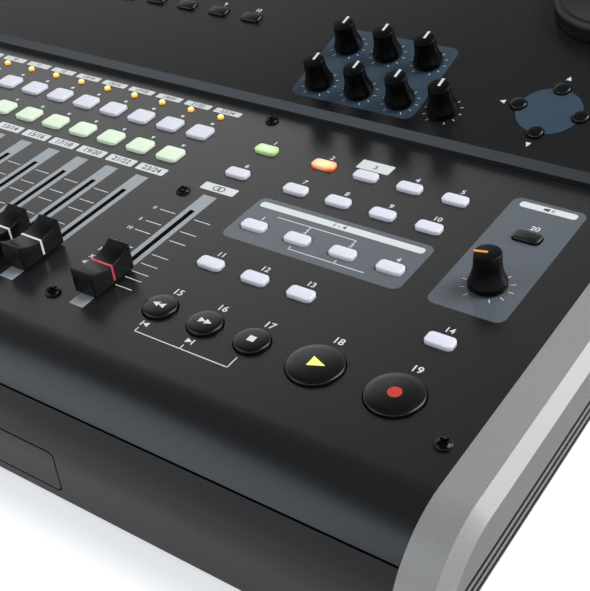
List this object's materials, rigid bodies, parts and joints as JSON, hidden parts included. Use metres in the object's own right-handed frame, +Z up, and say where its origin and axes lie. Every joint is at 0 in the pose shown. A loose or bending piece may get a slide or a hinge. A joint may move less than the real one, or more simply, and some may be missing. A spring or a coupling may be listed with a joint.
{
  "type": "digital multitrack recorder",
  "caption": "Desk-top multitrack audio recorder with a sloped fader panel, raised control deck with display and jog wheel, silver side caps, disc tray and rear sockets.",
  "frame": {"origin": "on the floor under the middle of the bounding box", "axes": "+Z up, +X to the right as the user sees it, front with the faders towards -Y"},
  "size_m": [0.5144, 0.34, 0.1043],
  "materials": {
    "case_grey": "satin moulded grey",
    "panel_charcoal": "semi-gloss charcoal",
    "cap_silver": "silver paint on plastic",
    "rear_black": "black powder coat",
    "foot_rubber": "matt",
    "screw_black": "black oxide",
    "window_smoke": "polished",
    "module_dark": "matt",
    "board_green": "solder mask",
    "inner_steel": "plated",
    "switch_black": "matt",
    "lamp_amber": "clear amber",
    "socket_black": "satin",
    "fader_black": "semi-gloss",
    "key_black": "semi-gloss",
    "key_white": "translucent white",
    "knob_black": "satin",
    "jog_black": "satin",
    "button_grey": "satin"
  },
  "bodies": {
    "case": {"bottom_case": "case_grey", "main_panel": "panel_charcoal", "deck_panel": "panel_charcoal", "left_side_cap": "cap_silver", "right_side_cap": "cap_silver", "rear_panel": "rear_black", "rubber_feet": "foot_rubber", "panel_screws": "screw_black", "display_window": "window_smoke", "display_module": "module_dark", "fader_board": "board_green", "deck_board": "board_green", "main_board": "board_green", "fader_tracks": "inner_steel", "rotary_controls": "inner_steel", "key_switches": "switch_black", "track_lamps": "lamp_amber", "disc_drive": "inner_steel", "combo_sockets": "socket_black", "rear_sockets": "socket_black"},
    "master_fader": {"master_fader": "fader_black"},
    "pair_fader_1": {"pair_fader_1": "fader_black"},
    "pair_fader_2": {"pair_fader_2": "fader_black"},
    "pair_fader_3": {"pair_fader_3": "fader_black"},
    "pair_fader_4": {"pair_fader_4": "fader_black"},
    "pair_fader_5": {"pair_fader_5": "fader_black"},
    "pair_fader_6": {"pair_fader_6": "fader_black"},
    "mono_fader_bank_1": {"mono_fader_bank_1": "fader_black"},
    "mono_fader_bank_2": {"mono_fader_bank_2": "fader_black"},
    "mono_fader_bank_3": {"mono_fader_bank_3": "fader_black"},
    "rewind_key": {"rewind_key": "key_black"},
    "forward_key": {"forward_key": "key_black"},
    "stop_key": {"stop_key": "key_black"},
    "play_key": {"play_key": "key_black"},
    "record_key": {"record_key": "key_black"},
    "function_keys": {"function_keys": "key_white"},
    "select_keys": {"select_keys": "key_white"},
    "arm_keys": {"arm_keys": "key_white"},
    "monitor_key": {"monitor_key": "key_black"},
    "deck_keys": {"deck_keys": "key_black"},
    "cursor_keys": {"cursor_keys": "key_black"},
    "monitor_knob": {"monitor_knob": "knob_black"},
    "phones_knob": {"phones_knob": "knob_black"},
    "jog_wheel": {"jog_wheel": "jog_black"},
    "trim_knob_1": {"trim_knob_1": "knob_black"},
    "trim_knob_2": {"trim_knob_2": "knob_black"},
    "trim_knob_3": {"trim_knob_3": "knob_black"},
    "trim_knob_4": {"trim_knob_4": "knob_black"},
    "trim_knob_5": {"trim_knob_5": "knob_black"},
    "trim_knob_6": {"trim_knob_6": "knob_black"},
    "trim_knob_7": {"trim_knob_7": "knob_black"},
    "trim_knob_8": {"trim_knob_8": "knob_black"},
    "track_knob_1": {"track_knob_1": "knob_black"},
    "track_knob_2": {"track_knob_2": "knob_black"},
    "track_knob_3": {"track_knob_3": "knob_black"},
    "track_knob_4": {"track_knob_4": "knob_black"},
    "track_knob_5": {"track_knob_5": "knob_black"},
    "track_knob_6": {"track_knob_6": "knob_black"},
    "disc_tray": {"disc_tray": "case_grey"},
    "power_button": {"power_button": "button_grey"}
  },
  "joints": [
    {"name": "master_fader_slide", "type": "slide", "parent": "case", "child": "master_fader", "axis": [0, 0.9994, 0.0349], "range_m": [0, 0.045]},
    {"name": "pair_fader_1_slide", "type": "slide", "parent": "case", "child": "pair_fader_1", "axis": [0, 0.9994, 0.0349], "range_m": [0, 0.045]},
    {"name": "pair_fader_2_slide", "type": "slide", "parent": "case", "child": "pair_fader_2", "axis": [0, 0.9994, 0.0349], "range_m": [0, 0.045]},
    {"name": "pair_fader_3_slide", "type": "slide", "parent": "case", "child": "pair_fader_3", "axis": [0, 0.9994, 0.0349], "range_m": [0, 0.045]},
    {"name": "pair_fader_4_slide", "type": "slide", "parent": "case", "child": "pair_fader_4", "axis": [0, 0.9994, 0.0349], "range_m": [0, 0.045]},
    {"name": "pair_fader_5_slide", "type": "slide", "parent": "case", "child": "pair_fader_5", "axis": [0, 0.9994, 0.0349], "range_m": [0, 0.045]},
    {"name": "pair_fader_6_slide", "type": "slide", "parent": "case", "child": "pair_fader_6", "axis": [0, 0.9994, 0.0349], "range_m": [0, 0.045]},
    {"name": "mono_fader_bank_1_slide", "type": "slide", "parent": "case", "child": "mono_fader_bank_1", "axis": [0, 0.9994, 0.0349], "range_m": [0, 0.045]},
    {"name": "mono_fader_bank_2_slide", "type": "slide", "parent": "case", "child": "mono_fader_bank_2", "axis": [0, 0.9994, 0.0349], "range_m": [0, 0.045]},
    {"name": "mono_fader_bank_3_slide", "type": "slide", "parent": "case", "child": "mono_fader_bank_3", "axis": [0, 0.9994, 0.0349], "range_m": [0, 0.045]},
    {"name": "rewind_key_press", "type": "slide", "parent": "case", "child": "rewind_key", "axis": [0, 0.0349, -0.9994], "range_m": [0, 0.0008], "stiffness_N_per_m": 800, "springref_m": -0.0004},
    {"name": "forward_key_press", "type": "slide", "parent": "case", "child": "forward_key", "axis": [0, 0.0349, -0.9994], "range_m": [0, 0.0008], "stiffness_N_per_m": 800, "springref_m": -0.0004},
    {"name": "stop_key_press", "type": "slide", "parent": "case", "child": "stop_key", "axis": [0, 0.0349, -0.9994], "range_m": [0, 0.0008], "stiffness_N_per_m": 800, "springref_m": -0.0004},
    {"name": "play_key_press", "type": "slide", "parent": "case", "child": "play_key", "axis": [0, 0.0349, -0.9994], "range_m": [0, 0.0008], "stiffness_N_per_m": 800, "springref_m": -0.0004},
    {"name": "record_key_press", "type": "slide", "parent": "case", "child": "record_key", "axis": [0, 0.0349, -0.9994], "range_m": [0, 0.0008], "stiffness_N_per_m": 800, "springref_m": -0.0004},
    {"name": "function_keys_press", "type": "slide", "parent": "case", "child": "function_keys", "axis": [0, 0.0349, -0.9994], "range_m": [0, 0.0008], "stiffness_N_per_m": 800, "springref_m": -0.0004},
    {"name": "select_keys_press", "type": "slide", "parent": "case", "child": "select_keys", "axis": [0, 0.0349, -0.9994], "range_m": [0, 0.0008], "stiffness_N_per_m": 800, "springref_m": -0.0004},
    {"name": "arm_keys_press", "type": "slide", "parent": "case", "child": "arm_keys", "axis": [0, 0.0349, -0.9994], "range_m": [0, 0.0008], "stiffness_N_per_m": 800, "springref_m": -0.0004},
    {"name": "monitor_key_press", "type": "slide", "parent": "case", "child": "monitor_key", "axis": [0, 0.0349, -0.9994], "range_m": [0, 0.0008], "stiffness_N_per_m": 800, "springref_m": -0.0004},
    {"name": "deck_keys_press", "type": "slide", "parent": "case", "child": "deck_keys", "axis": [0, 0.2793, -0.9602], "range_m": [0, 0.0008], "stiffness_N_per_m": 800, "springref_m": -0.0004},
    {"name": "cursor_keys_press", "type": "slide", "parent": "case", "child": "cursor_keys", "axis": [0, 0.2793, -0.9602], "range_m": [0, 0.0008], "stiffness_N_per_m": 800, "springref_m": -0.0004},
    {"name": "monitor_knob_turn", "type": "hinge", "parent": "case", "child": "monitor_knob", "pos_m": [0.2132, -0.05542, 0.053], "axis": [0, -0.0349, 0.9994], "range_deg": [-255, 45]},
    {"name": "phones_knob_turn", "type": "hinge", "parent": "case", "child": "phones_knob", "pos_m": [0.1504, 0.02986, 0.06439], "axis": [0, -0.2793, 0.9602], "range_deg": [-150, 150]},
    {"name": "jog_wheel_spin", "type": "hinge", "parent": "case", "child": "jog_wheel", "pos_m": [0.1906, 0.1056, 0.08642], "axis": [0, -0.2793, 0.9602], "continuous": true},
    {"name": "trim_knob_1_turn", "type": "hinge", "parent": "case", "child": "trim_knob_1", "pos_m": [-0.2178, 0.11904, 0.09033], "axis": [0, -0.2793, 0.9602], "range_deg": [-150, 150]},
    {"name": "trim_knob_2_turn", "type": "hinge", "parent": "case", "child": "trim_knob_2", "pos_m": [-0.1983, 0.11904, 0.09033], "axis": [0, -0.2793, 0.9602], "range_deg": [-150, 150]},
    {"name": "trim_knob_3_turn", "type": "hinge", "parent": "case", "child": "trim_knob_3", "pos_m": [-0.1788, 0.11904, 0.09033], "axis": [0, -0.2793, 0.9602], "range_deg": [-150, 150]},
    {"name": "trim_knob_4_turn", "type": "hinge", "parent": "case", "child": "trim_knob_4", "pos_m": [-0.1593, 0.11904, 0.09033], "axis": [0, -0.2793, 0.9602], "range_deg": [-150, 150]},
    {"name": "trim_knob_5_turn", "type": "hinge", "parent": "case", "child": "trim_knob_5", "pos_m": [-0.1398, 0.11904, 0.09033], "axis": [0, -0.2793, 0.9602], "range_deg": [-150, 150]},
    {"name": "trim_knob_6_turn", "type": "hinge", "parent": "case", "child": "trim_knob_6", "pos_m": [-0.1203, 0.11904, 0.09033], "axis": [0, -0.2793, 0.9602], "range_deg": [-150, 150]},
    {"name": "trim_knob_7_turn", "type": "hinge", "parent": "case", "child": "trim_knob_7", "pos_m": [-0.1008, 0.11904, 0.09033], "axis": [0, -0.2793, 0.9602], "range_deg": [-150, 150]},
    {"name": "trim_knob_8_turn", "type": "hinge", "parent": "case", "child": "trim_knob_8", "pos_m": [-0.0813, 0.11904, 0.09033], "axis": [0, -0.2793, 0.9602], "range_deg": [-150, 150]},
    {"name": "track_knob_1_turn", "type": "hinge", "parent": "case", "child": "track_knob_1", "pos_m": [0.1306, 0.02986, 0.06439], "axis": [0, -0.2793, 0.9602], "range_deg": [-150, 150]},
    {"name": "track_knob_2_turn", "type": "hinge", "parent": "case", "child": "track_knob_2", "pos_m": [0.1108, 0.02986, 0.06439], "axis": [0, -0.2793, 0.9602], "range_deg": [-150, 150]},
    {"name": "track_knob_3_turn", "type": "hinge", "parent": "case", "child": "track_knob_3", "pos_m": [0.091, 0.02986, 0.06439], "axis": [0, -0.2793, 0.9602], "range_deg": [-150, 150]},
    {"name": "track_knob_4_turn", "type": "hinge", "parent": "case", "child": "track_knob_4", "pos_m": [0.1306, 0.05387, 0.07138], "axis": [0, -0.2793, 0.9602], "range_deg": [-150, 150]},
    {"name": "track_knob_5_turn", "type": "hinge", "parent": "case", "child": "track_knob_5", "pos_m": [0.1108, 0.05387, 0.07138], "axis": [0, -0.2793, 0.9602], "range_deg": [-150, 150]},
    {"name": "track_knob_6_turn", "type": "hinge", "parent": "case", "child": "track_knob_6", "pos_m": [0.091, 0.05387, 0.07138], "axis": [0, -0.2793, 0.9602], "range_deg": [-150, 150]},
    {"name": "disc_tray_slide", "type": "slide", "parent": "case", "child": "disc_tray", "axis": [0, -1, 0], "range_m": [0, 0.11]},
    {"name": "power_button_press", "type": "slide", "parent": "case", "child": "power_button", "axis": [0, -1, 0], "range_m": [0, 0.0022], "stiffness_N_per_m": 400, "springref_m": -0.001}
  ]
}
